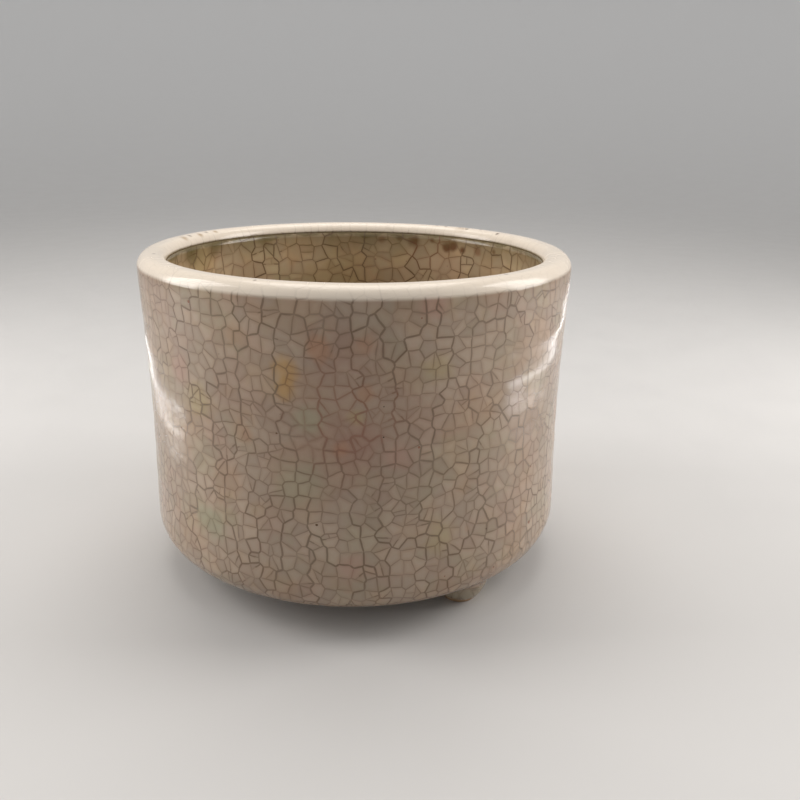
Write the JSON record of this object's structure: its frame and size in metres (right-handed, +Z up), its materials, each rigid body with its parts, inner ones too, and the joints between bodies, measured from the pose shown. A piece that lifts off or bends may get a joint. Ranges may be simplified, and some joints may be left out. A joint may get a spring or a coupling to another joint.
{
  "type": "bonsai pot",
  "caption": "Round stoneware bonsai pot with straight walls, a soft lip, a drain hole and three short feet, under a crackle glaze.",
  "frame": {"origin": "on the pot's axis, in the plane that its three soles stand on", "axes": "+Z up along the pot's axis, out of its mouth; foot_1 stands on -Y, foot_2 and foot_3 follow it at 120 degree steps"},
  "size_m": [0.116, 0.116, 0.0875],
  "materials": {
    "stoneware": "matte",
    "outer_glaze": "gloss",
    "inner_glaze": "gloss"
  },
  "bodies": {
    "root": {"clay_body": "stoneware", "foot_1": "stoneware", "foot_2": "stoneware", "foot_3": "stoneware", "outer_glaze": "outer_glaze", "inner_glaze": "inner_glaze"}
  },
  "joints": []
}
